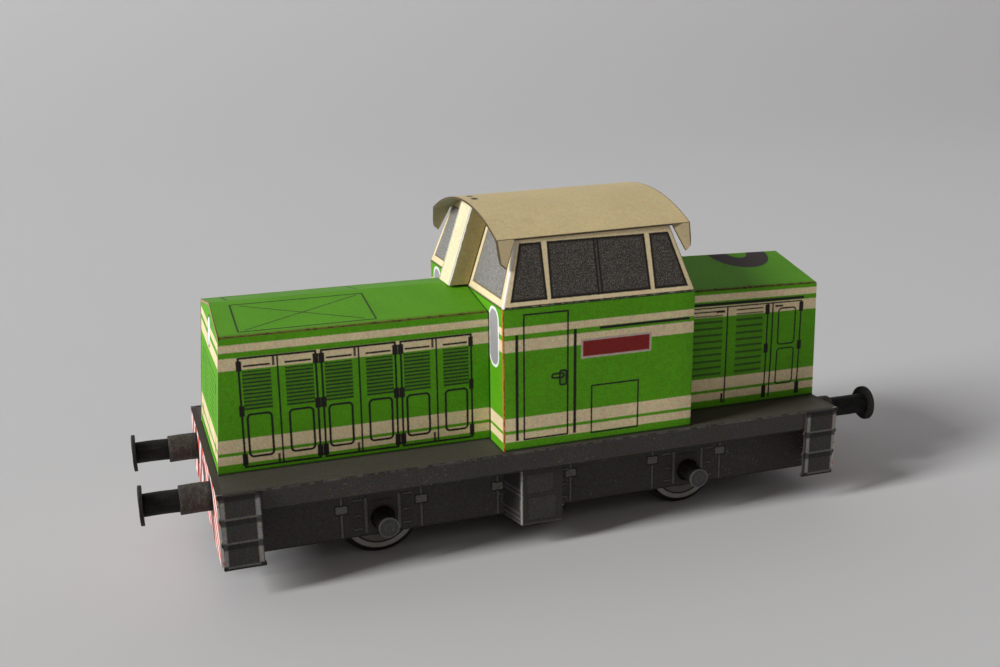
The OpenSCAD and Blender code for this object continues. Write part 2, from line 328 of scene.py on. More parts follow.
def box_mark_group():
    """Depth inside a round-cornered box: minus the signed distance to its outline."""
    labels = ("Across", "Up", "Middle", "Centre", "Half Width", "Half Height", "Round")
    group, given, out = socketed_group("box mark", [(n, "Float", 0) for n in labels], [("Depth", "Float")])
    sides = []
    for place, middle, half in (("Across", "Middle", "Half Width"), ("Up", "Centre", "Half Height")):
        off = sum_node(group, "SUBTRACT", given.outputs[place], given.outputs[middle])
        off = sum_node(group, "ABSOLUTE", off)
        core = sum_node(group, "SUBTRACT", given.outputs[half], given.outputs["Round"])
        sides.append(sum_node(group, "SUBTRACT", off, core))
    a, b = (sum_node(group, "MAXIMUM", s, 0.0) for s in sides)
    squares = sum_node(group, "MULTIPLY_ADD", a, a, sum_node(group, "MULTIPLY", b, b))
    length = sum_node(group, "SQRT", squares)
    inside = sum_node(group, "MINIMUM", sum_node(group, "MAXIMUM", *sides), 0.0)
    outside = sum_node(group, "SUBTRACT", sum_node(group, "ADD", length, inside), given.outputs["Round"])
    group.links.new(sum_node(group, "MULTIPLY", outside, -1.0), out.inputs["Depth"])
    return group


def straight_edge_group():
    """Distance to the left of the straight line from one point to another."""
    labels = ("Across", "Up", "From Across", "From Up", "Way Across", "Way Up")
    group, given, out = socketed_group("straight edge", [(n, "Float", 0) for n in labels],
                                       [("Depth", "Float")])
    a = sum_node(group, "SUBTRACT", given.outputs["Up"], given.outputs["From Up"])
    b = sum_node(group, "SUBTRACT", given.outputs["Across"], given.outputs["From Across"])
    depth = sum_node(group, "SUBTRACT", sum_node(group, "MULTIPLY", a, given.outputs["Way Across"]),
                     sum_node(group, "MULTIPLY", b, given.outputs["Way Up"]))
    group.links.new(depth, out.inputs["Depth"])
    return group


def noise(tree, coordinates, scale, detail, roughness=0.5):
    """A noise texture's value, centred on one half. The scale is in spots to the metre."""
    node = tree.nodes.new("ShaderNodeTexNoise")
    node.inputs["Scale"].default_value = scale
    node.inputs["Detail"].default_value = detail
    node.inputs["Roughness"].default_value = roughness
    tree.links.new(coordinates, node.inputs["Vector"])
    return node.outputs["Fac"]


def card_surface_group():
    """Turns a print into card: coloured ink speckle, slow fading, worn ink at the edges, dust and grain."""
    group, given, out = socketed_group(
        "card surface",
        [("Print", "Color", (0.5, 0.5, 0.5, 1)), ("Speckle", "Float", 0.6), ("Edge Wear", "Float", 0.0),
         ("Bare Card", "Color", (0.7, 0.68, 0.62, 1)), ("Dust", "Float", 0.1), ("Grain", "Float", 0.35)],
        [("Colour", "Color"), ("Roughness", "Float"), ("Normal", "Vector")])
    place = group.nodes.new("ShaderNodeTexCoord").outputs["Object"]
    dots = noise(group, place, scale=5600, detail=0).node.outputs["Color"]
    fade = noise(group, place, scale=110, detail=3)
    fibres = noise(group, place, scale=1300, detail=4, roughness=0.7)
    centred = vector_node(group, "SUBTRACT", dots, (0.5, 0.5, 0.5))
    spread = vector_node(group, "SCALE", centred, given.outputs["Speckle"], "Scale")
    grain = sum_node(group, "SUBTRACT", fibres, 0.5)
    light = sum_node(group, "MULTIPLY_ADD", sum_node(group, "SUBTRACT", fade, 0.5), 0.3, 1.0)
    light = sum_node(group, "MULTIPLY_ADD", grain, 0.35, light)
    tone = vector_node(group, "ADD", spread, light)
    tint = vector_node(group, "MULTIPLY", given.outputs["Print"], tone)
    worn = sum_node(group, "MULTIPLY_ADD", given.outputs["Edge Wear"], 4.0, -3.0)
    scuff = sum_node(group, "MULTIPLY_ADD", grain, 12.0, worn, clamp=True)
    colour = mixed(group, scuff, tint, given.outputs["Bare Card"])
    specks = noise(group, place, scale=3600, detail=1)
    specks = sum_node(group, "MULTIPLY_ADD", specks, 12.0, -8.1, clamp=True)
    patches = sum_node(group, "MULTIPLY_ADD", fade, 5.0, -2.2, clamp=True)
    dust = sum_node(group, "MULTIPLY", sum_node(group, "MULTIPLY", specks, patches), given.outputs["Dust"])
    colour = mixed(group, dust, colour, (0.4, 0.39, 0.37))
    group.links.new(colour, out.inputs["Colour"])
    group.links.new(sum_node(group, "MULTIPLY_ADD", fibres, 0.25, 0.5), out.inputs["Roughness"])
    bump = group.nodes.new("ShaderNodeBump")
    bump.inputs["Distance"].default_value = 0.03 * mm
    group.links.new(given.outputs["Grain"], bump.inputs["Strength"])
    group.links.new(sum_node(group, "ADD", fibres, fade), bump.inputs["Height"])
    group.links.new(bump.outputs[0], out.inputs["Normal"])
    return group


box_mark, straight_edge = box_mark_group(), straight_edge_group()
card_surface = card_surface_group()


class Sheet:
    """One printed sheet. Its marks are laid in order, on two of the model's axes."""

    def __init__(self, name, ink, across="X", up="Z", ragged=0.05):
        self.material = bpy.data.materials.new(name)
        self.material.use_nodes = True
        self.tree = self.material.node_tree
        self.place = self.tree.nodes.new("ShaderNodeTexCoord").outputs["Object"]
        split = self.tree.nodes.new("ShaderNodeSeparateXYZ")
        self.tree.links.new(self.place, split.inputs[0])
        shift = {"X": -mid_x, "Y": 0.0, "Z": -deck_top}
        self.axis = {a: self.sum("MULTIPLY_ADD", split.outputs[a], 1 / mm, shift[a]) for a in "XYZ"}
        self.axis["side"] = self.size(self.axis["Y"])
        self.across, self.up, self.up_plate = self.axis[across], self.axis[up], self.axis["Z"]
        wave = noise(self.tree, self.place, scale=2200, detail=2)
        self.wander = self.sum("MULTIPLY_ADD", wave, 2 * ragged, -ragged)
        self.print = ink

    def sum(self, operation, *values, clamp=False):
        """One sum on this sheet's own nodes."""
        return sum_node(self.tree, operation, *values, clamp=clamp)

    def over(self, value, limit):
        """How far one value is above another."""
        return self.sum("SUBTRACT", value, limit)

    def size(self, value):
        """A value without its sign."""
        return self.sum("ABSOLUTE", value)

    def part(self, group, **values):
        """Places a group and returns its first output."""
        node = self.tree.nodes.new("ShaderNodeGroup")
        node.node_tree = group
        for label, value in values.items():
            socket = node.inputs[label.replace("_", " ")]
            if isinstance(value, bpy.types.NodeSocket):
                self.tree.links.new(value, socket)
            else:
                socket.default_value = value
        return node.outputs[0]

    def box(self, left, right, low, high, corner=0.0, across=None, up=None):
        """Depth inside a box between two places across and two heights."""
        return self.part(box_mark, Across=across or self.across, Up=up or self.up,
                         Middle=(left + right) / 2, Centre=(low + high) / 2, Round=corner,
                         Half_Width=abs(right - left) / 2, Half_Height=abs(high - low) / 2)

    def band(self, low, high, along=None):
        """Depth inside a stripe between two heights."""
        off = self.size(self.over(along or self.up, (low + high) / 2))
        return self.over((high - low) / 2, off)

    def outline(self, corners, across=None, up=None):
        """Depth inside a convex outline whose corners run anticlockwise."""
        depth = None
        for (a, b), (c, d) in zip(corners, corners[1:] + corners[:1]):
            long = math.hypot(c - a, d - b)
            edge = self.part(straight_edge, Across=across or self.across, Up=up or self.up, From_Across=a,
                             From_Up=b, Way_Across=(c - a) / long, Way_Up=(d - b) / long)
            depth = edge if depth is None else self.sum("MINIMUM", depth, edge)
        return depth

    def disc(self, middle, centre, radius, across=None, up=None):
        """Depth inside a circle."""
        a = self.over(across or self.across, middle)
        b = self.over(up or self.up, centre)
        off = self.sum("SQRT", self.sum("MULTIPLY_ADD", a, a, self.sum("MULTIPLY", b, b)))
        return self.over(radius, off)

    def line(self, a, b, width):
        """Depth inside a straight stroke from one point to another."""
        way = np.array([b[0] - a[0], b[1] - a[1]], float)
        way /= np.hypot(*way)
        side = np.array([way[1], -way[0]]) * width / 2
        points = [np.array(a) + side, np.array(b) + side, np.array(b) - side, np.array(a) - side]
        return self.outline([tuple(float(v) for v in p) for p in points])

    def rim(self, depth, width):
        """Depth inside a line drawn along a mark's outline."""
        return self.over(width / 2, self.size(depth))

    def both(self, *depths):
        """Where two or more marks overlap."""
        result = depths[0]
        for depth in depths[1:]:
            result = self.sum("MINIMUM", result, depth)
        return result

    def any(self, *depths):
        """Where at least one of the marks is."""
        result = depths[0]
        for depth in depths[1:]:
            result = self.sum("MAXIMUM", result, depth)
        return result

    def repeat(self, value, first, pitch):
        """Distance from the nearest of a row of centres, with a sign."""
        turn = self.over(value, first - pitch / 2)
        part = self.sum("FLOORED_MODULO", turn, pitch)
        return self.over(part, pitch / 2)

    def lay(self, depth, ink, strength=1.0, soft=0.06):
        """Prints an ink wherever the depth is above nought, with a wandering edge."""
        edge = self.sum("ADD", depth, self.wander)
        mask = self.sum("MULTIPLY_ADD", edge, 0.5 / soft, 0.5, clamp=True)
        if strength != 1.0:
            mask = self.sum("MULTIPLY", mask, strength)
        self.print = mixed(self.tree, mask, self.print, ink)

    def grit(self, depth, ink, strength=0.4, scale=7200, most=0.52):
        """Scatters fine dots of another ink over a mark."""
        dots = noise(self.tree, self.place, scale, detail=0)
        dots = self.sum("MULTIPLY_ADD", dots, 9.0, -9.0 * most, clamp=True)
        inside = self.sum("MULTIPLY_ADD", depth, 6.0, 0.0, clamp=True)
        mask = self.sum("MULTIPLY", self.sum("MULTIPLY", dots, inside), strength)
        self.print = mixed(self.tree, mask, self.print, ink)

    def finish(self, speckle=0.65, wear=None, width=0.3, bare=(0.05, 0.025, 0.01), dust=0.1,
               grain=0.35):
        """Puts the print on card and gives the sheet its matt shader."""
        node = self.tree.nodes.new("ShaderNodeGroup")
        node.node_tree = card_surface
        if isinstance(self.print, tuple):
            node.inputs["Print"].default_value = (*self.print, 1)
        else:
            self.tree.links.new(self.print, node.inputs["Print"])
        node.inputs["Speckle"].default_value = speckle
        node.inputs["Bare Card"].default_value = (*bare, 1)
        node.inputs["Dust"].default_value = dust
        node.inputs["Grain"].default_value = grain
        if wear is not None:
            worn = self.sum("MULTIPLY_ADD", wear, -0.5 / width, 1.0, clamp=True)
            self.tree.links.new(worn, node.inputs["Edge Wear"])
        shader = self.tree.nodes["Principled BSDF"]
        self.tree.links.new(node.outputs["Colour"], shader.inputs["Base Color"])
        self.tree.links.new(node.outputs["Roughness"], shader.inputs["Roughness"])
        self.tree.links.new(node.outputs["Normal"], shader.inputs["Normal"])
        shader.inputs["Specular IOR Level"].default_value = 0.16
        return self.material


def plain_sheet(name, ink, **kept):
    """Card of one colour."""
    return Sheet(name, ink).finish(**kept)


card_back = plain_sheet("card back", (0.6, 0.58, 0.52), speckle=0.3)
raw_edge = plain_sheet("raw card edge", (0.33, 0.24, 0.14), speckle=0.9, grain=0.6)
GREEN = (0.092, 0.33, 0.007)
ROOF_GREEN = (0.085, 0.28, 0.009)
CREAM = (0.72, 0.6, 0.375)
INK = (0.018, 0.016, 0.014)
SHADE_GREEN = (0.05, 0.15, 0.012)
FOLD_BROWN = (0.09, 0.035, 0.01)

# ---- hoods ----
# The two engine hoods are gabled card covers with a leaning end. Their sides
# are printed with cream stripes, louvred doors, hinges and handles. Heights
# on every sheet are counted from the top of the running plate.

STRIPES = [(1.3, 2.5), (2.95, 4.8), (14.4, 16.1), (16.85, 17.9)]
HOOD_SIDE = 18.9
SINK = 0.55                                     # the short hood's far end stands lower
BOW, PUFF = 0.14, 0.06                          # how far a hood's sides and its end panel bulge
LAMP_GLASS = (0.66, 0.74, 0.76)


def stripes(sheet):
    """The four cream stripes that run round the whole body."""
    for low, high in STRIPES:
        sheet.lay(sheet.band(low, high), CREAM)


def eave_fold(sheet):
    """Dark cracked ink along the folds of the eaves."""
    off = sheet.size(sheet.over(sheet.up_plate, HOOD_SIDE))
    sheet.lay(sheet.over(0.1, off), FOLD_BROWN, 0.85, soft=0.08)
    return off


long_low, long_high = box_mm("long_hood")
short_low, short_high = box_mm("short_hood")
hood_half, hood_ridge = long_high[1], long_high[2]
hood_eave = deck_top + HOOD_SIDE
cab_front, cab_rear = long_low[0] - mid_x, short_high[0] - mid_x


def long_hood_side():
    """Six louvred doors in three pairs, each pair mirrored about its split."""
    s = Sheet("long hood side", GREEN)
    stripes(s)
    half, sill, head = 5.1, 0.7, 15.95
    off = s.repeat(s.across, 15.23, 10.97)
    q = s.size(off)
    row = s.band(9.85, 42.6, s.across)
    louvre = s.repeat(s.up, 8.9, 0.52)
    slats = s.both(s.band(0.95, 4.7, q), s.band(8.7, 14.15), row)
    s.lay(slats, SHADE_GREEN, 0.55)
    s.lay(s.both(slats, s.rim(louvre, 0.22)), INK, 0.92)
    s.lay(s.both(s.band(0.95, 4.5, q), s.band(14.72, 14.98), row), INK)
    s.lay(s.both(s.rim(s.box(1.2, 4.4, 2.1, 8.1, 0.55, across=q), 0.32), row), INK)
    s.lay(s.both(s.rim(s.box(-half, half, sill, head, across=off), 0.3), row), INK)
    s.lay(s.both(s.band(-0.12, 0.12, off), s.band(sill, head), row), INK)
    for centre, tall in ((14.9, 0.72), (8.65, 0.75), (1.75, 0.85)):
        hinge = s.box(half - 0.4, half + 0.4, centre - tall, centre + tall, 0.15, across=q)
        s.lay(s.both(hinge, row), INK)
    for low, high in ((14.6, 15.9), (0.8, 2.1)):
        s.lay(s.both(s.box(0.36, 0.7, low, high, across=off), row), INK, 0.9)
    s.lay(s.band(-0.5, 0.22), INK, 0.8)
    off = eave_fold(s)
    s.lay(s.over(cab_front + 0.16, s.across), INK, 0.8)
    return s.finish(wear=off, width=0.1)


def long_hood_roof():
    """A hatch with crossed lines on each slope."""
    s = Sheet("long hood roof", ROOF_GREEN, across="X", up="side")
    s.lay(s.rim(s.box(23.2, 41.8, 1.5, 10.3), 0.26), INK, 0.9)
    s.lay(s.line((24.6, 9.8), (40.6, 2.0), 0.22), INK, 0.8)
    s.lay(s.line((24.0, 1.9), (40.9, 9.9), 0.22), INK, 0.8)
    off = eave_fold(s)
    end = s.over(long_high[0] - mid_x - 1.45, s.axis["X"])
    s.lay(s.rim(end, 0.32), FOLD_BROWN, 0.8)
    s.lay(s.over(cab_front + 0.2, s.across), INK, 0.85)
    return s.finish(speckle=0.5, wear=s.both(off, end), width=0.1)


def sunk_sheet(name, ink=GREEN, **kept):
    """A sheet on the short hood, whose heights shrink a little towards its far end."""
    s = Sheet(name, ink, **kept)
    steepness = SINK / HOOD_SIDE / (short_high[0] - short_low[0])
    fall = s.sum("MULTIPLY_ADD", s.axis["X"], steepness, 1 - cab_rear * steepness)
    s.up_plate = s.sum("DIVIDE", s.axis["Z"], fall)
    if kept.get("up", "Z") == "Z":
        s.up = s.up_plate
    return s


def short_hood_side():
    """Two wide louvred doors and a narrow panelled one."""
    s = sunk_sheet("short hood side")
    s.across = s.sum("ADD", s.across, 1.0)
    s.up = s.sum("MULTIPLY", s.up, 0.982)
    stripes(s)
    louvre = s.repeat(s.up, 5.5, 1.02)
    slats = s.any(s.band(-29.05, -24.1, s.across), s.band(-36.1, -31.4, s.across))
    tall = s.band(5.0, 14.7)
    s.lay(s.both(slats, tall), SHADE_GREEN, 0.3)
    s.lay(s.both(slats, tall, s.rim(louvre, 0.34)), INK, 0.7)
    s.lay(s.both(slats, s.band(15.15, 15.35)), INK)
    for x in (-29.85, -36.9, -37.8, -42.9):
        s.lay(s.box(x - 0.13, x + 0.13, 0.6, 15.9), INK)
    s.lay(s.box(-42.9, cab_rear, 15.75, 15.95), INK)
    for low, high in ((9.1, 14.9), (2.6, 8.4)):
        s.lay(s.rim(s.box(-41.9, -38.9, low, high, 0.5), 0.24), INK)
    for x in (-36.85, -42.9):
        for centre, tall in ((14.9, 0.8), (8.7, 0.75), (1.6, 1.0)):
            s.lay(s.box(x - 0.38, x + 0.38, centre - tall, centre + tall, 0.15), INK)
    s.lay(s.box(-29.6, -29.25, 0.7, 2.2), INK)
    s.lay(s.box(-29.4, -27.9, 15.0, 15.35), INK)
    s.lay(s.box(-39.6, -38.2, 15.15, 15.45), INK)
    s.lay(s.box(-43.3, cab_rear, 16.15, 16.6), INK)
    s.lay(s.band(-0.5, 0.25), INK, 0.8)
    off = eave_fold(s)
    return s.finish(wear=off, width=0.1)


def short_hood_roof():
    """The round fan grille, a dark ring with a green hub."""
    s = sunk_sheet("short hood roof", ROOF_GREEN, across="X", up="Y")
    fan = -38.9
    ring = s.disc(fan, 0, 5.2)
    s.lay(ring, (0.05, 0.042, 0.04))
    turns = s.repeat(ring, 0, 0.45)
    s.lay(s.both(ring, s.rim(turns, 0.14)), INK, 0.8)
    s.lay(s.disc(fan, 0, 1.7), ROOF_GREEN)
    off = eave_fold(s)
    return s.finish(speckle=0.5, wear=off, width=0.16)


def hood_end(s, doors):
    """The end of a hood: stripes, two doors and, high in the middle, a tall pale lamp glass."""
    stripes(s)
    q = s.axis["side"]
    sill, head = 0.8, 12.6
    s.lay(s.rim(s.box(0.0, doors, sill, head, 0.4, across=q), 0.2), INK, 0.8)
    s.lay(s.box(-0.1, 0.1, sill, head), INK, 0.8)
    slot_row = s.repeat(s.up, 6.0, 0.8)
    s.lay(s.both(s.band(1.6, doors - 1.6, q), s.band(5.6, 12.0), s.rim(slot_row, 0.2)), INK, 0.8)
    for centre in (2.7, 11.0):
        s.lay(s.box(doors - 0.3, doors + 0.3, centre - 0.8, centre + 0.8, 0.2, across=q), INK)
    glass = s.box(-1.3, 1.3, 14.9, 19.0, 1.25, across=s.axis["Y"])
    s.lay(s.sum("ADD", glass, 0.25), INK)
    s.lay(glass, LAMP_GLASS)
    corner = s.over(hood_half, q)
    s.lay(s.over(0.16, corner), FOLD_BROWN, 0.7)
    return s.finish(speckle=0.5, wear=corner, width=0.16)


def hood(name, foot, wall, lean, sink, crown, side, roof, end):
    """The folded cover, from the cab's wall to a leaning mouth, and the end panel glued inside it.
    The sides bow outwards by BOW sin(pi v) sin(pi u), and sink lowers them towards the mouth."""
    half, ridge = hood_half, hood_eave + crown
    section = [(-half, deck_top), (-half, hood_eave), (0, ridge), (half, hood_eave), (half, deck_top)]
    outer, runs = fold_line(section, FOLD, False)
    inner, _ = fold_line(inset(section, -CARD, False), 0.05, False)
    outward = 1 if foot > wall else -1

    def at(line, x):
        return np.column_stack([np.broadcast_to(x, len(line)), line])

    def mouth(line):
        return foot - outward * lean / HOOD_SIDE * (line[:, 1] - deck_top)

    def sunk(grid):
        along = (grid[..., 0] - wall) / (foot - wall)
        grid = grid.copy()
        grid[..., 2] -= (grid[..., 2] - deck_top) * sink / HOOD_SIDE * along
        return grid

    numbers = np.where(np.isin(runs, (0, 3)), 0, 1)[:-1]
    grids = walls(at(outer, wall), at(outer, mouth(outer)), at(inner, wall), at(inner, mouth(inner)),
                  24, numbers)
    for grid, _ in grids[:2]:
        lift = np.clip((grid[..., 2] - deck_top) / HOOD_SIDE, 0, 1)
        along = np.clip((grid[..., 0] - wall) / (foot - wall), 0, 1)
        bow = BOW * np.sin(np.pi * lift) * np.sin(np.pi * along) * (lift < 0.98)
        grid[..., 1] += np.sign(grid[..., 1]) * bow
    edge = inset(section, -CARD - 0.02, False)
    u = np.linspace(-1, 1, 25)
    top_y = edge[1, 0] * -u
    top_z = ridge - CARD * 1.02 - crown * np.abs(u)
    v = np.linspace(0, 1, 15)
    z = deck_top + (top_z[:, None] - deck_top) * v[None, :]
    y = np.broadcast_to(top_y[:, None], z.shape)
    face_x = foot - outward * (lean / HOOD_SIDE * (z - deck_top) + 0.08)
    puff = PUFF * np.cos(np.pi * u / 2)[:, None] * np.sin(np.pi * v)[None, :]
    face = np.stack([face_x + outward * puff, y, z], -1)
    back = np.stack([face_x - outward * CARD, y, z], -1)
    grids += [(face, 4), (back, BACK)] + cut_edges(face, back, RAW)
    grids = [(sunk(grid), number) for grid, number in grids]
    card_piece(name + "_card", grids, [side, roof, card_back, raw_edge, end],
               stands_for=(name,))


long_end = hood_end(Sheet("long hood end", GREEN, across="Y"), 8.2)
short_end = hood_end(sunk_sheet("short hood end", across="Y"), 6.4)
CROWN = hood_ridge - hood_eave
hood("long_hood", foot=long_high[0], wall=long_low[0], lean=1.4, sink=0.0, crown=CROWN,
     side=long_hood_side(), roof=long_hood_roof(), end=long_end)
hood("short_hood", foot=short_low[0], wall=short_high[0], lean=0.5, sink=SINK, crown=CROWN + 0.8,
     side=short_hood_side(), roof=short_hood_roof(), end=short_end)

# ---- lower cab ----
# A tall box folded from one strip and closed at a corner. The sides carry a
# door with its handrails, a blank plate and a hatch; the end walls have a
# tall narrow window on each side of the hood.

cab_low, cab_high = box_mm("cab_body")
waist = cab_high[2]
WAIST_H = waist - deck_top
PLATE_RIM, PLATE_RED = (0.5, 0.42, 0.36), (0.22, 0.02, 0.018)
PANE_RIM, PANE_GREY = (0.8, 0.82, 0.82), (0.3, 0.295, 0.31)


def cab_side():
    """A door between two handrails, the blank red plate with its pale rim, and a low hatch."""
    s = Sheet("cab side", GREEN)
    stripes(s)
    s.lay(s.rim(s.box(-2.2, 4.35, 1.45, 19.55), 0.26), INK)
    for x in (5.4, -3.3):
        s.lay(s.box(x - 0.22, x + 0.22, 1.4, 16.8), INK)
    lock = s.box(-2.0, -1.0, 8.9, 11.0, 0.3)
    s.lay(lock, INK, 0.4)
    s.lay(s.rim(lock, 0.26), INK)
    s.lay(s.rim(s.box(-1.6, 0.15, 10.0, 10.6, 0.28), 0.28), INK)
    s.lay(s.box(-21.2, -7.05, 16.4, 16.8), INK)
    s.lay(s.box(-15.15, -4.2, 12.35, 15.2), PLATE_RIM)
    s.lay(s.box(-14.85, -4.5, 12.65, 14.9), PLATE_RED)
    s.lay(s.rim(s.box(-13.2, -5.9, 1.1, 8.2), 0.24), INK)
    s.lay(s.over(s.up, WAIST_H - 0.18), INK, 0.85)
    s.lay(s.band(-0.5, 0.25), INK, 0.8)
    corner = s.over(cab_front, s.across)
    s.lay(s.over(0.13, corner), (0.25, 0.1, 0.03), 0.9, soft=0.1)
    rear = s.over(s.across, cab_rear)
    return s.finish(wear=s.both(corner, rear), width=0.08, bare=(0.4, 0.3, 0.18))


def cab_end():
    """The wall on each side of a hood, with its raw orange-brown edge at the near corner."""
    s = Sheet("cab end", GREEN, across="side")
    stripes(s)
    pane = s.box(12.05, 15.4, 11.9, 19.8, 1.45)
    s.lay(s.sum("ADD", pane, 0.38), PANE_RIM)
    s.lay(pane, PANE_GREY)
    against = s.size(s.over(s.across, hood_half))
    s.lay(s.both(s.over(0.22, against), s.over(HOOD_SIDE, s.up)), INK, 0.85)
    s.lay(s.over(s.up, WAIST_H - 0.2), INK, 0.75)
    corner = s.over(cab_high[1], s.across)
    s.lay(s.over(0.4, corner), (0.4, 0.15, 0.03), 0.9, soft=0.16)
    return s.finish(speckle=0.5, wear=corner, width=0.14, bare=(0.2, 0.06, 0.01))


def cab():
    """A closed strip: left side, rear, right side and front, from the plate to the waist."""
    x0, x1, half = cab_low[0], cab_high[0], cab_high[1]
    plan = [(x1, -half), (x1, half), (x0, half), (x0, -half)]
    outer, runs = fold_line(plan, FOLD * 0.7, True)
    inner, _ = fold_line(inset(plan, CARD, True), 0.05, True)

    def at(line, z):
        return np.column_stack([line, np.full(len(line), z)])

    numbers = np.where(runs % 2 == 0, 1, 0)[:-1]
    grids = walls(at(outer, deck_top), at(outer, waist), at(inner, deck_top), at(inner, waist),
                  12, numbers, closed=True)
    card_piece("cab_body_card", grids, [cab_side(), cab_end(), card_back, raw_edge],
               stands_for=("cab_body",))


cab()

# ---- window band ----
# Four cream walls lean in from the waist to the roof. The panes are printed:
# dark on the sides, pale grey at the ends, with black borders.

roof_low, roof_high = box_mm("cab_roof")
roof_top = roof_high[2]
BAND_H, SIDE_LEAN, END_LEAN = 8.9, 2.6, 2.9
eave = waist + BAND_H
ROOF_CARD = 0.24
ROOF_HALF = cab_high[1] - SIDE_LEAN + 0.27      # a little wider than the top of the band
ROOF_RISE = roof_top - eave - 0.12
ROOF_RADIUS = (ROOF_HALF ** 2 + ROOF_RISE ** 2) / (2 * ROOF_RISE)
RAISED = 0.5                                    # the roof sits higher at its rear end
SIDE_PANE = (0.046, 0.04, 0.035)
END_PANE = (0.175, 0.17, 0.165)


def roof_lift(x):
    """How much the roof is raised at a place along it."""
    return RAISED * (roof_high[0] - x) / (roof_high[0] - roof_low[0])


def band_side():
    """Three dark panes, the middle one with a double bar, in the leaning cream wall."""
    s = Sheet("window band side", CREAM)
    low, high = WAIST_H + 0.75, WAIST_H + 8.4
    panes = [[(0.75, low), (6.2, low), (4.05, high), (0.85, high)],
             [(-15.0, low), (0.25, low), (0.05, high), (-14.8, high)],
             [(-20.9, low), (-15.6, low), (-15.55, high), (-18.6, high)]]
    for pane in panes:
        depth = s.outline(pane)
        s.lay(depth, INK)
        s.lay(s.over(depth, 0.32), SIDE_PANE, soft=0.12)
        s.grit(s.over(depth, 0.3), (0.2, 0.185, 0.17), 0.55)
    for x in (-7.5, -6.95):
        s.lay(s.box(x - 0.13, x + 0.13, low, high), INK)
    s.lay(s.over(WAIST_H + 0.2, s.up), INK, 0.9)
    reach = BAND_H + 1.2
    top, drawn_in = WAIST_H + reach, reach * END_LEAN / BAND_H
    flanks = s.outline([(cab_rear, WAIST_H), (cab_front, WAIST_H), (cab_front - drawn_in, top),
                        (cab_rear + drawn_in, top)])
    s.lay(s.rim(flanks, 0.3), INK, 0.9)
    return s.finish(speckle=0.5, wear=flanks, width=0.08, bare=(0.3, 0.27, 0.22))


def band_end():
    """One pale pane on each side of the duct, in a cream wall whose corner fold is bare and white."""
    s = Sheet("window band end", CREAM, across="side")
    low, high = WAIST_H + 1.0, WAIST_H + 9.3
    pane = s.outline([(3.6, low), (16.0, low), (13.9, high), (3.6, high)])
    s.lay(pane, INK, 0.8)
    s.lay(s.over(pane, 0.26), END_PANE)
    s.grit(s.over(pane, 0.2), (0.5, 0.5, 0.48), 0.4)
    s.grit(s.over(pane, 0.2), (0.07, 0.07, 0.07), 0.4, scale=6700)
    s.lay(s.over(WAIST_H + 0.15, s.up), INK, 0.75)
    lean = s.sum("MULTIPLY_ADD", s.up, -SIDE_LEAN / BAND_H, cab_high[1] + WAIST_H * SIDE_LEAN / BAND_H)
    corner = s.over(lean, s.across)
    s.lay(s.over(0.35, corner), (0.78, 0.78, 0.76), 0.8)
    return s.finish(speckle=0.45, wear=corner, width=0.2, bare=(0.75, 0.74, 0.7))


def window_band():
    """A closed strip whose plan shrinks with height; the ends run up under the roof's curve."""
    axis_z = roof_top - ROOF_RADIUS
    middle = (cab_low[0] + cab_high[0]) / 2
    half_x, half_y = (cab_high[0] - cab_low[0]) / 2, cab_high[1]
    plan = np.array([(half_x, -half_y), (half_x, half_y), (-half_x, half_y), (-half_x, -half_y)])
    unit, runs = fold_line(plan / plan.max(0), 0.02, True, run=14)

    def rings(gap):
        """The walls set in by a gap; a few rounds settle the height where they meet the roof."""
        foot_x, foot_y = half_x - gap, half_y - gap
        top = np.full(len(unit), eave)
        for _ in range(8):
            y = unit[:, 1] * (foot_y - SIDE_LEAN / BAND_H * (top - waist))
            top = axis_z + np.sqrt((ROOF_RADIUS - ROOF_CARD - 0.03) ** 2 - y ** 2)
            top = top + roof_lift(middle + unit[:, 0] * (foot_x - END_LEAN))
        t = np.linspace(0, 1, 10)[None, :]
        z = waist + (top[:, None] - waist) * t
        x = middle + unit[:, :1] * (foot_x - END_LEAN / BAND_H * (z - waist))
        y = unit[:, 1:] * (foot_y - SIDE_LEAN / BAND_H * (z - waist))
        return np.stack([x, y, z], -1)

    numbers = np.where(runs % 2 == 0, 1, 0)[:-1]
    grids = strip(rings(0.0), rings(CARD), numbers, True)
    card_piece("cab_band_card", grids, [band_side(), band_end(), card_back, raw_edge],
               stands_for=("cab_band",))


window_band()

# ---- cab roof ----
# One curved sheet of cream card that overhangs the ends. At each corner a
# small pointed flap is folded down in the plane of the window band.

KHAKI = (0.5, 0.41, 0.225)
EDGE_INK = (0.06, 0.04, 0.02)
FLAP, FLAP_TIP = 2.8, 1.1                       # how far its two inner corners are from the roof's end
FLAP_H, FLAP_CARD, FLAP_CURL = 3.95, 0.34, 0.12
eave_h = WAIST_H + BAND_H + 0.1
roof_mid, roof_reach = (roof_low[0] + roof_high[0]) / 2, (roof_high[0] - roof_low[0]) / 2


def roof_print():
    """Plain khaki with two ink blots, a faint stain and an inked rim."""
    s = Sheet("cab roof", KHAKI, across="X", up="Y")
    for x, y in ((5.42, -2.3), (5.6, 0.55)):
        s.lay(s.box(x - 0.45, x + 0.45, y - 0.8, y + 0.8, 0.4), (0.035, 0.03, 0.028), soft=0.15)
    edge = s.box(roof_low[0] - mid_x, roof_high[0] - mid_x, -ROOF_HALF, ROOF_HALF)
    s.lay(s.over(0.12, edge), EDGE_INK, 0.75)
    s.lay(s.disc(1.3, 11.2, 0.7), (0.35, 0.28, 0.14), 0.35, soft=0.7)
    return s.finish(speckle=0.55, wear=edge, width=0.1, bare=EDGE_INK, grain=0.6)


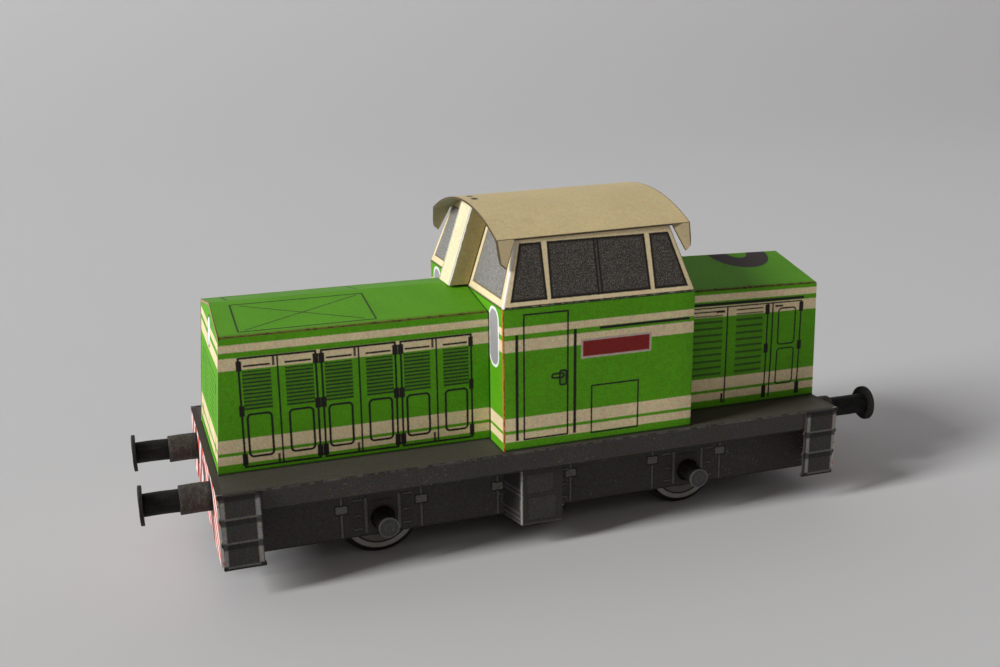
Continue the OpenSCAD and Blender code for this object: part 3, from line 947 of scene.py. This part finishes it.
def flap_print(name, end):
    """A folded corner flap, its cut edges inked dark."""
    s = Sheet(name, (0.52, 0.43, 0.25))
    foot = s.sum("MULTIPLY_ADD", s.axis["X"], end, -end * (roof_mid - mid_x))
    leaf = s.outline([(roof_reach - FLAP, eave_h), (roof_reach - FLAP_TIP, eave_h - 3.8),
                      (roof_reach - 0.28, eave_h - 3.1), (roof_reach - 0.02, eave_h + 1)], across=foot)
    s.lay(s.over(0.14, leaf), (0.05, 0.035, 0.02), 0.75)
    return s.finish(speckle=0.35, grain=0.5)


def cab_roof():
    """An arc from eave to eave, the flaps hanging from its corners, all raised a little at the rear."""
    span = math.asin(ROOF_HALF / ROOF_RADIUS)
    angle = np.linspace(-span, span, 41)
    x = np.linspace(roof_low[0], roof_high[0], 25)

    def shell(r):
        """One side of the sheet: y = r sin a and z = r cos a over the arc, carried along X."""
        y, z = r * np.sin(angle), roof_top - ROOF_RADIUS + r * np.cos(angle)
        return np.stack(np.broadcast_arrays(x[None, :], y[:, None], z[:, None]), -1).copy()

    outer, inner = shell(ROOF_RADIUS), shell(ROOF_RADIUS - ROOF_CARD)
    grids = [(outer, 0), (inner, 1)] + cut_edges(outer, inner, 2)
    slope = math.atan2(SIDE_LEAN, BAND_H)
    t = np.linspace(0, 1, 13)
    front = roof_reach - np.interp(t, [0, 0.55, 0.83, 1], [0, 0.08, 0.28, 1.0])
    back = roof_reach - np.interp(t, [0, 1], [FLAP, FLAP_TIP])
    u = np.linspace(0, 1, 7)
    for end in (-1, 1):
        fx = roof_mid + end * (back[:, None] + (front - back)[:, None] * u[None, :])
        for side in (-1, 1):
            leaf = []
            for deep in (0.0, -FLAP_CARD):
                down = t * FLAP_H
                curl = FLAP_CURL * t ** 2 + deep
                y = ROOF_HALF - 0.02 + curl * math.cos(slope) + down * math.sin(slope)
                z = eave + 0.12 - down * math.cos(slope) + curl * math.sin(slope)
                leaf.append(np.stack(np.broadcast_arrays(fx, side * y[:, None], z[:, None]), -1))
            grids += [(leaf[0], 3 if end > 0 else 4), (leaf[1], 1)] + cut_edges(*leaf, 2)
    for grid, _ in grids:
        grid[..., 2] += roof_lift(grid[..., 0])
    inked = plain_sheet("inked roof edge", (0.09, 0.07, 0.045), speckle=0.9)
    under = plain_sheet("roof underside", (0.42, 0.37, 0.26), speckle=0.3)
    flaps = [flap_print("front flap", 1), flap_print("rear flap", -1)]
    card_piece("cab_roof_card", grids, [roof_print(), under, inked] + flaps,
               stands_for=("cab_roof",))


cab_roof()

# ---- air duct ----
# A narrow cream box folded from one strip, glued up the front of the cab
# between the windows, with bare white card along its folds.

_, duct_high = box_mm("cab_duct")
duct_half, duct_front_x = duct_high[1], duct_high[0]


def duct_front():
    """Cream, with a pale worn line and a dark one along each fold."""
    s = Sheet("duct front", (0.68, 0.63, 0.43), across="Y", ragged=0.02)
    edge = s.over(duct_half, s.axis["side"])
    s.lay(s.over(0.42, edge), INK, 0.8)
    s.lay(s.over(0.26, edge), (0.66, 0.66, 0.65), 0.95)
    return s.finish(speckle=0.4, wear=edge, width=0.03, bare=(0.2, 0.18, 0.15))


def duct_side():
    """Darker cream, painted shade for the side walls; depth is counted back from the leaning front fold."""
    # The side's ink is darker than the front's cream: painted shade.
    s = Sheet("duct side", (0.41, 0.335, 0.15))
    lean = s.sum("MULTIPLY_ADD", s.up, END_LEAN / BAND_H, s.across)
    depth = s.over(duct_front_x - mid_x + WAIST_H * END_LEAN / BAND_H, lean)
    s.lay(s.over(0.16, depth), INK, 0.8)
    s.lay(s.over(depth, 2.88), INK, 0.8)
    blots = s.over(s.disc(8.2, 23.5, 1.0), s.wander)
    s.lay(blots, (0.3, 0.23, 0.1), 0.3, soft=0.8)
    return s.finish(speckle=0.5, wear=depth, width=0.06, bare=(0.5, 0.5, 0.48))


def duct():
    """A channel of three walls; its height runs from the hood's gable to the roof."""
    back, front, half = cab_high[0] + 0.02, duct_front_x, duct_half
    plan = [(back, -half), (front, -half), (front, half), (back, half)]
    outer, runs = fold_line(plan, 0.15, False, run=6)
    inner, _ = fold_line(inset(plan, CARD, False), 0.04, False, run=6)

    def at(line, z):
        leaning = line[:, 0] - END_LEAN / BAND_H * (z - waist)
        return np.column_stack([leaning, line[:, 1], np.full(len(line), z)])

    foot, top = hood_ridge - 0.06, duct_high[2]
    numbers = np.where(runs == 1, 0, 1)[:-1]
    grids = walls(at(outer, foot), at(outer, top), at(inner, foot), at(inner, top), 12, numbers)
    card_piece("cab_duct_card", grids, [duct_front(), duct_side(), card_back, raw_edge],
               stands_for=("cab_duct",))


duct()

# ---- running plate ----
# A stiff board wrapped in dark print, whose long edges are folded down as
# fascias. The beams across its ends have slanted warning stripes.

DECK = (0.058, 0.055, 0.044)
FRAME = (0.054, 0.049, 0.046)
PALE_MARK = (0.2, 0.195, 0.185)


def deck_print():
    """The plate's top, with painted contact shadow where the hoods and the cab are glued on."""
    s = Sheet("plate top", DECK, across="X", up="Y", ragged=0.08)
    edge = s.over(plate_high[1], s.axis["side"])
    s.lay(s.over(0.16, edge), INK, 0.6, soft=0.12)
    ends = (long_high[0] - mid_x, cab_front, cab_rear, short_low[0] - mid_x)
    for x1, x0, half in zip(ends, ends[1:], (hood_half, cab_high[1], hood_half)):
        # A soft dark margin round each footprint: painted contact shadow.
        foot = s.box(x0, x1, -half, half)
        s.lay(s.sum("ADD", foot, 0.25), (0.015, 0.014, 0.012), 0.8, soft=0.25)
    return s.finish(speckle=1.1, wear=edge, width=0.15, bare=(0.08, 0.075, 0.07), dust=0.3, grain=0.7)


def fascia_print():
    """The turned-down edge: paler at the fold and dark along its foot."""
    s = Sheet("plate fascia", (0.056, 0.051, 0.048), ragged=0.08)
    s.lay(s.over(s.up, -0.2), (0.085, 0.08, 0.074), 0.5)
    s.lay(s.over(-2.85, s.up), INK, 0.8)
    edge = s.over(0.0, s.up)
    return s.finish(speckle=1.5, wear=edge, width=0.08, bare=(0.1, 0.095, 0.09), dust=0.45, grain=0.8)


def running_plate():
    """The wrapped cover: fascia, top and fascia, with round folds."""
    half, low = plate_high[1], plate_low[2]
    section = [(-half, low), (-half, deck_top), (half, deck_top), (half, low)]
    outer, runs = fold_line(section, FOLD, False, run=20)
    inner, _ = fold_line(inset(section, -CARD, False), 0.05, False, run=20)

    def at(line, x):
        return np.column_stack([np.full(len(line), x), line])

    numbers = np.where(runs == 1, 0, 1)[:-1]
    grids = walls(at(outer, plate_low[0]), at(outer, plate_high[0]), at(inner, plate_low[0]),
                  at(inner, plate_high[0]), 30, numbers)
    inked = plain_sheet("inked plate edge", (0.04, 0.034, 0.03))
    card_piece("deck_cover_card", grids, [deck_print(), fascia_print(), card_back, inked],
               stands_for=("deck_cover",))


running_plate()


def paint_node(node, material):
    """Gives a CAD piece its finish."""
    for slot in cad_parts[node].material_slots:
        slot.material = material


def beam_print():
    """Red and white warning stripes that slant down from the middle to each side."""
    s = Sheet("end beam", (0.74, 0.7, 0.67), across="Y")
    slant = s.sum("ADD", s.axis["side"], s.up)
    row = s.repeat(slant, 0, 4.4)
    s.lay(s.rim(row, 2.2), (0.62, 0.045, 0.035))
    pad = (0.07, 0.065, 0.06)
    for side in (-1, 1):
        s.lay(s.disc(side * 10.05, -3.4, 2.9), pad)
    s.lay(s.box(-2.2, 2.2, -5.9, -2.1, 0.4), pad)
    s.lay(s.rim(s.box(-1.6, 1.6, -5.3, -2.7, 0.3), 0.2), PALE_MARK)
    s.lay(s.over(s.up, -0.12), (0.045, 0.035, 0.03), soft=0.1)
    edge = s.sum("MULTIPLY_ADD", s.axis["side"], -1.0, plate_high[1])
    return s.finish(speckle=0.5, wear=edge, width=0.1, bare=(0.6, 0.58, 0.55))


beam_sheet = beam_print()
for node in ("beam_front", "beam_rear"):
    paint_node(node, beam_sheet)

# ---- frame sides ----
# Dark printed card with pale hanger rods and axle guards, cut out round the
# axles; the cut is left raw and brownish.

AXLE_GAP = 24.1
axle_low, axle_high = box_mm("axle_middle")
AXLE_H = (axle_low[2] + axle_high[2]) / 2 - deck_top
HANGERS = [(29.95, -7.05), (18.45, -7.05), (6.95, -6.9), (-4.55, -6.6), (-18.05, -6.55),
           (-29.65, -6.6)]                      # each rod's place along, and its nut's height


def axle_box(s):
    """The guards and short dashes printed on each side of an axle, and the brownish cut of its hole."""
    off = s.repeat(s.across, 0, AXLE_GAP)
    q = s.size(off)
    guard = s.box(2.17, 2.63, -11.0, -5.7, across=q)
    s.lay(s.sum("ADD", guard, 0.12), INK, 0.8)
    s.lay(guard, PALE_MARK, 0.55)
    for left, right, h in ((3.0, 4.3, -5.9), (3.1, 3.95, -8.25), (3.0, 4.1, -10.3)):
        s.lay(s.box(left, right, h - 0.32, h + 0.32, across=q), INK, 0.6)
        s.lay(s.box(left, right, h - 0.1, h + 0.1, across=q), PALE_MARK, 0.5)
    s.lay(s.box(-1.6, 1.6, -6.35, -6.15, across=off), INK, 0.8)
    hole = s.disc(0, AXLE_H, 1.9, across=off)
    s.lay(s.sum("ADD", hole, 0.12), INK, 0.6)
    s.lay(hole, (0.07, 0.04, 0.022), soft=0.12)


def frame_print():
    """Dark sides with a shadow under the plate, and a rod with a nut at each hanger."""
    s = Sheet("frame side", FRAME, ragged=0.08)
    s.lay(s.band(-4.6, -3.0), (0.022, 0.02, 0.019), 0.85)
    for x, h in HANGERS:
        s.lay(s.box(x - 0.3, x + 0.3, -11.4, -5.2), INK, 0.6)
        s.lay(s.box(x - 0.14, x + 0.14, -11.4, -5.2), PALE_MARK, 0.6)
        s.lay(s.box(x - 1.0, x + 1.0, h - 0.75, h + 0.75, 0.15), INK)
        s.lay(s.box(x - 0.82, x + 0.82, h - 0.55, h + 0.55, 0.1), PALE_MARK, 0.75)
    axle_box(s)
    s.lay(s.over(-11.25, s.up), INK, 0.8)
    return s.finish(speckle=1.5, dust=0.4, grain=0.8)


frame_sheet = frame_print()
for node in ("frame_left", "frame_right"):
    paint_node(node, frame_sheet)

paint_node("deck_board", plain_sheet("stiff board", (0.2, 0.185, 0.16), speckle=0.6, grain=0.8))
dark_board = plain_sheet("inked board", (0.04, 0.035, 0.03), speckle=0.5, grain=0.6)
for node in ("bearing_left", "bearing_right", "cross_front", "cross_rear"):
    paint_node(node, dark_board)

# ---- steps and tanks ----
# Flat step plates hang at the four corners, printed with pale stiles and
# rungs. A folded box with two printed panels sits under the cab.

RUNGS, STEP_EDGE = 3, 0.25                      # rungs on a plate, and the margin above and below


def step_print():
    """Two pale stiles and a dark rung with a pale lip at each pitch."""
    low, high = box_mm("step_front_left")
    bottom, top = low[2] - deck_top, high[2] - deck_top
    inner, outer = low[0] - mid_x, high[0] - mid_x
    s = Sheet("step plate", (0.045, 0.042, 0.04), ragged=0.05)
    q = s.size(s.across)
    pitch = (top - bottom - 2 * STEP_EDGE) / RUNGS
    rise = s.repeat(s.up, bottom + STEP_EDGE, pitch)
    for x in (inner + 0.62, outer - 0.62):
        stile = s.box(x - 0.3, x + 0.3, bottom + 0.6, top - STEP_EDGE, 0.1, across=q)
        s.lay(s.sum("ADD", stile, 0.14), INK, 0.85)
        s.lay(stile, (0.27, 0.265, 0.25), 0.95, soft=0.12)
    s.lay(s.both(s.band(inner, outer, q), s.band(-0.75, 0.25, rise)), INK, 0.8, soft=0.12)
    s.lay(s.both(s.band(inner + 0.75, outer - 0.75, q), s.band(0.02, 0.3, rise)), PALE_MARK, 0.55)
    s.lay(s.band(-0.6, 0.2), INK, 0.7)
    return s.finish(speckle=1.2, dust=0.25)


step_sheet = step_print()


def step_card(end, side):
    """A flat plate whose outline steps out at each rung, hung slightly out of true and curled:
    y = y0 + 0.1 t^2 + 0.05 u^2, with t down the plate and u across it."""
    name = "step_%s_%s" % ("front" if end > 0 else "rear", "left" if side > 0 else "right")
    low, high = box_mm(name)
    z = np.linspace(low[2], high[2], 61)
    t = (high[2] - z) / (high[2] - low[2])
    pitch = (high[2] - low[2] - 2 * STEP_EDGE) / RUNGS
    off = np.abs((z - low[2] - STEP_EDGE + pitch / 2) % pitch - pitch / 2)
    ear = 0.22 * np.clip(1.4 - off / 0.35, 0, 1)
    middle = (low[0] + high[0]) / 2 + (0.42 if end < 0 else -0.12) * t
    half = (high[0] - low[0]) / 2 - 0.22 + ear - 0.12 * t
    u = np.linspace(-1, 1, 9)
    x = middle[:, None] + half[:, None] * u[None, :]
    near = min(abs(low[1]), abs(high[1]))
    out = near + 0.1 * t[:, None] ** 2 + 0.05 * u[None, :] ** 2
    face = np.stack(np.broadcast_arrays(x, side * (out + CARD), z[:, None]), -1)
    back = np.stack(np.broadcast_arrays(x, side * (out + 0.02), z[:, None]), -1)
    grids = [(face, 0), (back, 1)] + cut_edges(face, back, 1)
    card_piece(name + "_card", grids, [step_sheet, dark_board], stands_for=(name,))


for end in (1, -1):
    for side in (1, -1):
        step_card(end, side)


def tank_print():
    """Two panels, four short dashes behind them, a pale fold line and a bare lower edge."""
    s = Sheet("side tank", (0.04, 0.037, 0.0355), ragged=0.06)
    for left, right, low, high in ((0.1, 4.15, -6.7, -3.9), (-0.25, 3.95, -10.8, -7.4)):
        panel = s.box(left, right, low, high, 0.2)
        s.lay(s.sum("ADD", panel, 0.12), INK, 0.4)
        s.lay(panel, (0.058, 0.054, 0.051), 0.9, soft=0.12)
    for h in (-6.3, -7.0, -9.9, -10.7):
        s.lay(s.box(5.05, 6.0, h - 0.12, h + 0.12), PALE_MARK, 0.4)
    s.lay(s.rim(s.over(s.across, 4.88), 0.2), (0.35, 0.34, 0.33), 0.8)
    s.lay(s.over(-11.3, s.up), (0.12, 0.11, 0.1), 0.6)
    return s.finish(speckle=1.3, dust=0.3, grain=0.7)


tank_sheet = tank_print()
for node in ("tank_left", "tank_right"):
    paint_node(node, tank_sheet)

# ---- buffers ----
# Rolled paper: a grey housing, a thinner black plunger and a black disc. Each
# roll ends in a seam, a step as high as the paper is thick.


def rolled_print(name, ink, across_lines, **kept):
    """Paper rolled round X: the ink is rubbed in fine lines along the roll."""
    s = Sheet(name, ink, across="Y")
    stretch = s.tree.nodes.new("ShaderNodeMapping")
    s.tree.links.new(s.place, stretch.inputs["Vector"])
    stretch.inputs["Scale"].default_value = across_lines
    lines = noise(s.tree, stretch.outputs[0], scale=2600, detail=3, roughness=0.7)
    rubbed = tuple(c * 3.2 + 0.01 for c in ink)
    s.lay(s.sum("MULTIPLY_ADD", lines, 2.0, -1.12), rubbed, 0.45, soft=0.3)
    return s.finish(**kept)


def roll(name, node, radius, paper, material, slot, seam_at):
    """A tube of rolled paper along X, r(t) = radius - paper (1 - t / 2 pi), closed at both ends."""
    low, high = box_mm(node)
    y, z = (low[1] + high[1]) / 2, (low[2] + high[2]) / 2
    turn = np.linspace(0, 2 * math.pi, 73)
    r = np.append(radius - paper * (1 - turn / (2 * math.pi)), radius - paper)
    turn = np.append(turn, 2 * math.pi) + seam_at
    x = np.concatenate([[low[0], low[0] + 0.06], np.linspace(low[0] + 0.1, high[0] - 0.1, 9),
                        [high[0] - 0.06, high[0]]])
    shrink = np.array([0.06, 0.02, *np.zeros(9), 0.02, 0.06])
    ripple = 0.02 * np.sin(3 * turn[None, :] + 1.3 * x[:, None])
    rr = r[None, :] - shrink[:, None] + ripple
    ring = np.stack(np.broadcast_arrays(x[:, None], y + rr * np.cos(turn), z + rr * np.sin(turn)), -1)
    grids = [(ring, 0)]
    for i in (0, -1):
        centre = np.array([x[i], y, z])
        share = np.linspace(1, 0, 6)[:, None, None]
        grids.append((centre + (ring[i] - centre)[None] * share, 0))
    card_piece(name, grids, [material], stands_for=(node,))


rolled_black = rolled_print("rolled black paper", (0.005, 0.005, 0.005), (0.2, 1, 1),
                            speckle=1.0, grain=0.9)
rolled_grey = rolled_print("rolled grey paper", (0.037, 0.033, 0.03), (1, 0.5, 0.5),
                           speckle=1.4, grain=1.0)
for end in ("front", "rear"):
    for side in ("left", "right"):
        place = "%s_%s" % (end, side)
        seam = 2.2 if side == "left" else 0.9
        roll("housing_%s_roll" % place, "housing_" + place, 2.05, 0.1, rolled_grey,
             "printed_grey", seam)
        roll("plunger_%s_roll" % place, "plunger_" + place, 1.6, 0.08, rolled_black,
             "rolled_black", seam + 1)


disc_sheet = rolled_print("black disc", (0.014, 0.014, 0.014), (1, 1, 1), speckle=1.0, grain=0.6)


def buffer_head(place):
    """A card disc with a soft rim, a little warped: x = x0 + w r^2 cos 2t."""
    low, high = box_mm("head_" + place)
    y, z, radius = (low[1] + high[1]) / 2, (low[2] + high[2]) / 2, 0.47 * (high[2] - low[2])
    turn = np.linspace(0, 2 * math.pi, 65)
    flat = np.linspace(0, radius - 0.07, 6)
    r = np.concatenate([flat, [radius, radius], flat[::-1]])
    x = np.concatenate([np.full(6, low[0]), [low[0] + 0.06, high[0] - 0.06], np.full(6, high[0])])
    warp = 0.07 * (r[:, None] / radius) ** 2 * np.cos(2 * turn)[None, :]
    grid = np.stack([x[:, None] + warp, y + r[:, None] * np.cos(turn), z + r[:, None] * np.sin(turn)], -1)
    card_piece("head_%s_disc" % place, [(grid, 0)], [disc_sheet], stands_for=("head_" + place,))


for end in ("front", "rear"):
    for side in ("left", "right"):
        buffer_head("%s_%s" % (end, side))

# ---- wheelsets ----
# Two discs make a wheel: a pale printed tyre on a larger black flange. The
# axle is a rolled tube closed with a grey disc at each end.


def wheel_print(index):
    """Rings round the axle's middle: hub, disc, tyre and the dark flange outside them."""
    s = Sheet("wheel %d" % index, (0.1, 0.095, 0.09), ragged=0.05)
    x = index * AXLE_GAP
    s.lay(s.rim(s.disc(x, AXLE_H, 3.9), 0.9), (0.16, 0.155, 0.145))
    s.lay(s.rim(s.disc(x, AXLE_H, 5.0), 0.74), (0.33, 0.315, 0.295))
    s.lay(s.rim(s.disc(x, AXLE_H, 4.5), 0.2), INK)
    s.lay(s.rim(s.disc(x, AXLE_H, 2.7), 0.25), INK)
    s.lay(s.sum("MULTIPLY", s.disc(x, AXLE_H, 5.36), -1.0), INK)
    return s.finish(speckle=0.8)


def cap_print(index):
    """Two thin rings on the disc that closes an axle tube."""
    s = Sheet("axle disc %d" % index, (0.06, 0.06, 0.06), ragged=0.03)
    x = index * AXLE_GAP
    s.lay(s.rim(s.disc(x, AXLE_H, 1.4), 0.14), (0.16, 0.16, 0.155))
    s.lay(s.rim(s.disc(x, AXLE_H, 0.6), 0.12), (0.13, 0.13, 0.13), 0.5)
    return s.finish(speckle=1.0)


axle_sheet = rolled_print("rolled axle paper", (0.02, 0.019, 0.018), (1, 0.15, 1),
                          speckle=1.0, grain=0.9)
for index, place in ((1, "front"), (0, "middle"), (-1, "rear")):
    paint_node("axle_" + place, axle_sheet)
    wheel_sheet = wheel_print(index)
    for side in ("left", "right"):
        paint_node("wheel_%s_%s" % (place, side), wheel_sheet)
    if index:
        cap_sheet = cap_print(index)
        for side in ("left", "right"):
            paint_node("cap_%s_%s" % (place, side), cap_sheet)
